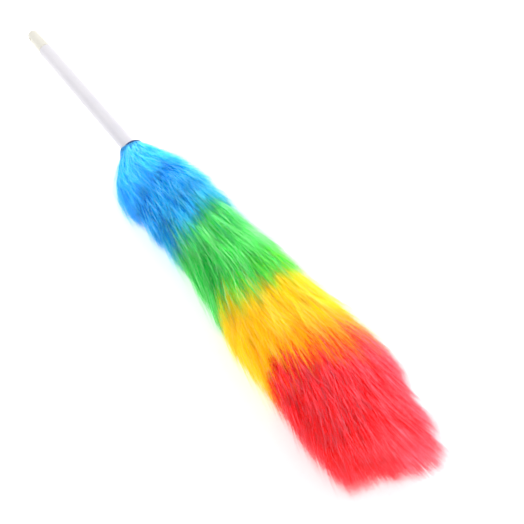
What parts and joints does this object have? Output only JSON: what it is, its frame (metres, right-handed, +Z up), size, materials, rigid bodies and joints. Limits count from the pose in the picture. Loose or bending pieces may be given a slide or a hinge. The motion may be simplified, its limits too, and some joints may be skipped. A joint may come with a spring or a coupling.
{
  "type": "static duster",
  "caption": "Long shaggy duster with a slim round handle, a hang hole, and a bendable wire core covered by tiers of soft coloured fibre.",
  "frame": {"origin": "centre of the bounding box's bottom face, on the surface that the duster lies on", "axes": "+X from the handle's free end to the head's tip, +Z up, duster lying down as when put on a table"},
  "size_m": [0.6328, 0.0928, 0.0752],
  "materials": {
    "handle_plastic": "satin",
    "plug_plastic": "satin",
    "bush_plastic": "matte",
    "collar_plastic": "satin",
    "core_steel": "satin",
    "binding_thread": "matte",
    "blue_fibre": "satin",
    "green_fibre": "satin",
    "yellow_fibre": "satin",
    "red_fibre": "satin"
  },
  "bodies": {
    "handle": {"handle_tube": "handle_plastic", "end_plug": "plug_plastic", "core_bush": "bush_plastic", "neck_collar": "collar_plastic", "core_wire_blue": "core_steel", "binding_blue": "binding_thread", "blue_tier_1": "blue_fibre", "blue_tier_2": "blue_fibre", "blue_tier_3": "blue_fibre"},
    "green_section": {"core_wire_green": "core_steel", "binding_green": "binding_thread", "green_tier_1": "green_fibre", "green_tier_2": "green_fibre", "green_tier_3": "green_fibre"},
    "yellow_section": {"core_wire_yellow": "core_steel", "binding_yellow": "binding_thread", "yellow_tier_1": "yellow_fibre", "yellow_tier_2": "yellow_fibre", "yellow_tier_3": "yellow_fibre"},
    "red_section": {"core_wire_red": "core_steel", "binding_red": "binding_thread", "red_tier_1": "red_fibre", "red_tier_2": "red_fibre", "red_tier_3": "red_fibre", "red_tier_4": "red_fibre", "red_tier_5": "red_fibre", "tip_bead": "bush_plastic"}
  },
  "joints": [
    {"name": "bend_blue_green", "type": "hinge", "parent": "handle", "child": "green_section", "pos_m": [-0.0266, 0, 0.01813], "axis": [0, 0, 1], "range_deg": [-15, 15], "deforming": ["blue_tier_1", "blue_tier_2", "blue_tier_3"]},
    {"name": "bend_green_yellow", "type": "hinge", "parent": "green_section", "child": "yellow_section", "pos_m": [0.06332, 0, 0.0219], "axis": [0, 0, 1], "range_deg": [-15, 15], "deforming": ["green_tier_1", "green_tier_2", "green_tier_3"]},
    {"name": "bend_yellow_red", "type": "hinge", "parent": "yellow_section", "child": "red_section", "pos_m": [0.13925, 0, 0.02508], "axis": [0, 0, 1], "range_deg": [-15, 15], "deforming": ["yellow_tier_1", "yellow_tier_2", "yellow_tier_3"]}
  ],
  "couplings": [
    {"joint": "bend_green_yellow", "follows": "bend_blue_green", "ratio": 1},
    {"joint": "bend_yellow_red", "follows": "bend_blue_green", "ratio": 1}
  ]
}
